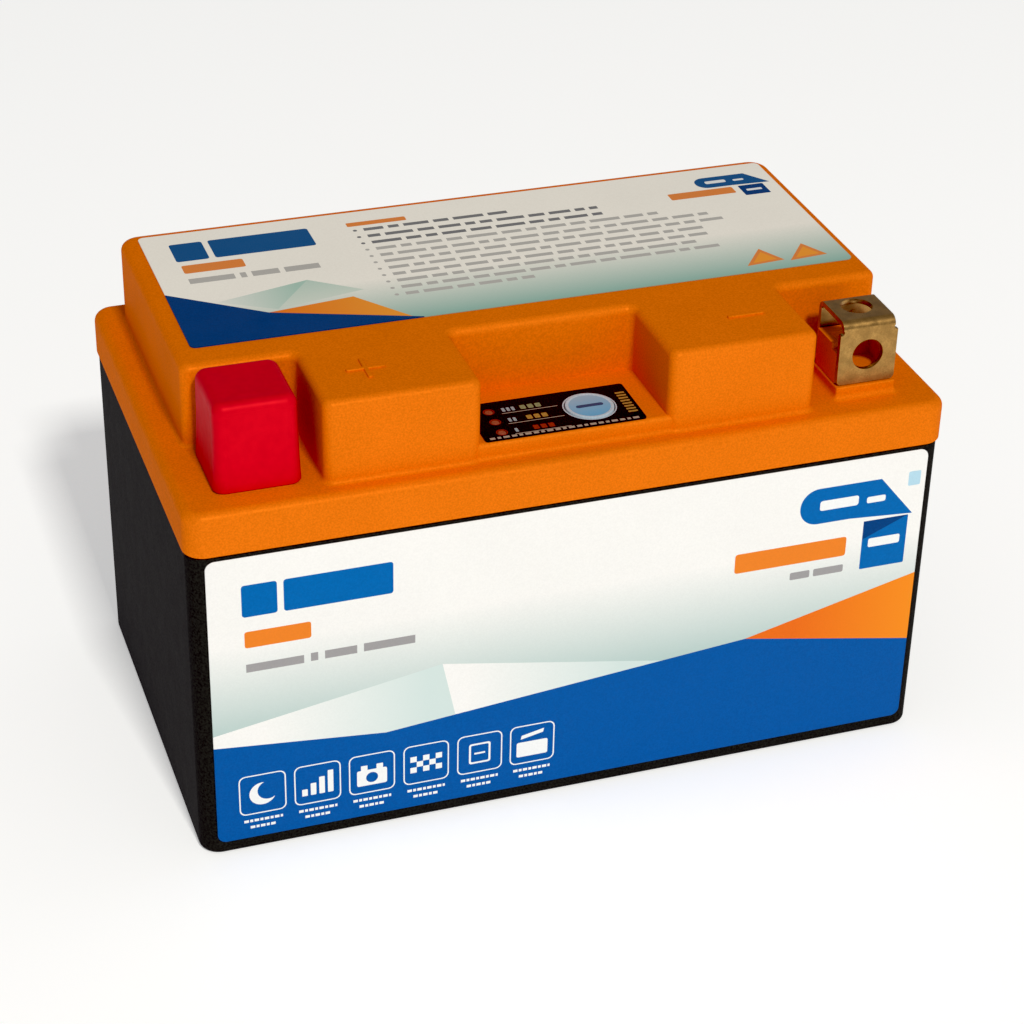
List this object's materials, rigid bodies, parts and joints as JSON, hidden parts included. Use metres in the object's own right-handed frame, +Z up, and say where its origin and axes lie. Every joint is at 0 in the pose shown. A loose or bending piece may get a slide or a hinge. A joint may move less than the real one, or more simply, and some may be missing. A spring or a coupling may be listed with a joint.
{
  "type": "motorcycle battery",
  "caption": "Twelve-volt lithium starter battery for a motorcycle: black case, orange stepped lid with terminals in notches, red terminal cap and a charge indicator with a test button.",
  "frame": {"origin": "middle of the footprint, on the flat underside that the case stands on", "axes": "+X along the long side towards the negative terminal, -Y towards the label and terminal side, +Z up"},
  "size_m": [0.15, 0.087, 0.0942],
  "materials": {
    "black_abs": "fine moulded grain, slightly glossy",
    "orange_abs": "fine moulded grain, satin",
    "front_label_film": "printed vinyl label, satin gloss",
    "top_label_film": "printed vinyl label, satin gloss",
    "red_vinyl": "soft glossy vinyl",
    "overlay_film": "printed polyester film",
    "button_film": "silver-blue printed film",
    "black_nylon": "satin",
    "white_nylon": "satin",
    "circuit_board": "solder mask",
    "flex_circuit": "polyimide film",
    "black_sleeve": "silicone sleeve",
    "red_sleeve": "silicone sleeve",
    "nickel_plate": "nickel plated",
    "tab_aluminium": "rolled foil",
    "terminal_brass": "plated, lightly tarnished",
    "potting_resin": "cast resin",
    "zinc_steel": "zinc plated",
    "lamp_package": "moulded lens",
    "light_guide_acrylic": "clear tinted acrylic",
    "pouch_film": "laminated pouch",
    "fibre_board": "pressed fibre",
    "grey_foam": "closed-cell foam"
  },
  "bodies": {
    "root": {"container": "black_abs", "lid": "orange_abs", "front_label": "front_label_film", "top_label": "top_label_film", "indicator_overlay": "overlay_film", "test_switch_housing": "black_nylon", "indicator_board": "circuit_board", "indicator_plug": "white_nylon", "indicator_harness": "black_sleeve", "busbar_positive": "nickel_plate", "busbar_negative": "nickel_plate", "cell_carrier": "black_nylon", "balance_board": "circuit_board", "balance_header": "white_nylon", "sense_flex_circuit": "flex_circuit", "terminal_positive": "terminal_brass", "nut_holder_positive": "orange_abs", "terminal_seal_positive": "potting_resin", "terminal_screw_positive": "zinc_steel", "terminal_nut_positive": "zinc_steel", "lead_positive": "red_sleeve", "lead_lug_positive": "nickel_plate", "terminal_negative": "terminal_brass", "nut_holder_negative": "orange_abs", "terminal_seal_negative": "potting_resin", "terminal_screw_negative": "zinc_steel", "terminal_nut_negative": "zinc_steel", "lead_negative": "black_sleeve", "lead_lug_negative": "nickel_plate", "indicator_lamp_low": "lamp_package", "light_guide_low": "light_guide_acrylic", "indicator_lamp_medium": "lamp_package", "light_guide_medium": "light_guide_acrylic", "indicator_lamp_full": "lamp_package", "light_guide_full": "light_guide_acrylic", "cell_1": "pouch_film", "cell_1_tab_positive": "tab_aluminium", "cell_1_tab_negative": "nickel_plate", "cell_2": "pouch_film", "cell_2_tab_positive": "tab_aluminium", "cell_2_tab_negative": "nickel_plate", "cell_3": "pouch_film", "cell_3_tab_positive": "tab_aluminium", "cell_3_tab_negative": "nickel_plate", "cell_4": "pouch_film", "cell_4_tab_positive": "tab_aluminium", "cell_4_tab_negative": "nickel_plate", "cell_separator_1": "fibre_board", "series_link_1": "nickel_plate", "cell_separator_2": "fibre_board", "series_link_2": "nickel_plate", "cell_separator_3": "fibre_board", "series_link_3": "nickel_plate", "foam_wrap": "grey_foam", "foam_base": "grey_foam"},
    "positive_terminal_cap": {"positive_terminal_cap": "red_vinyl"},
    "test_button": {"test_button": "button_film", "test_switch_plunger": "white_nylon"}
  },
  "joints": [
    {"name": "cap_lift", "type": "slide", "parent": "root", "child": "positive_terminal_cap", "axis": [0, 0, 1], "range_m": [0, 0.03]},
    {"name": "button_press", "type": "slide", "parent": "root", "child": "test_button", "axis": [0, 0, -1], "range_m": [0, 0.0004], "stiffness_N_per_m": 1500, "springref_m": -0.0001}
  ]
}
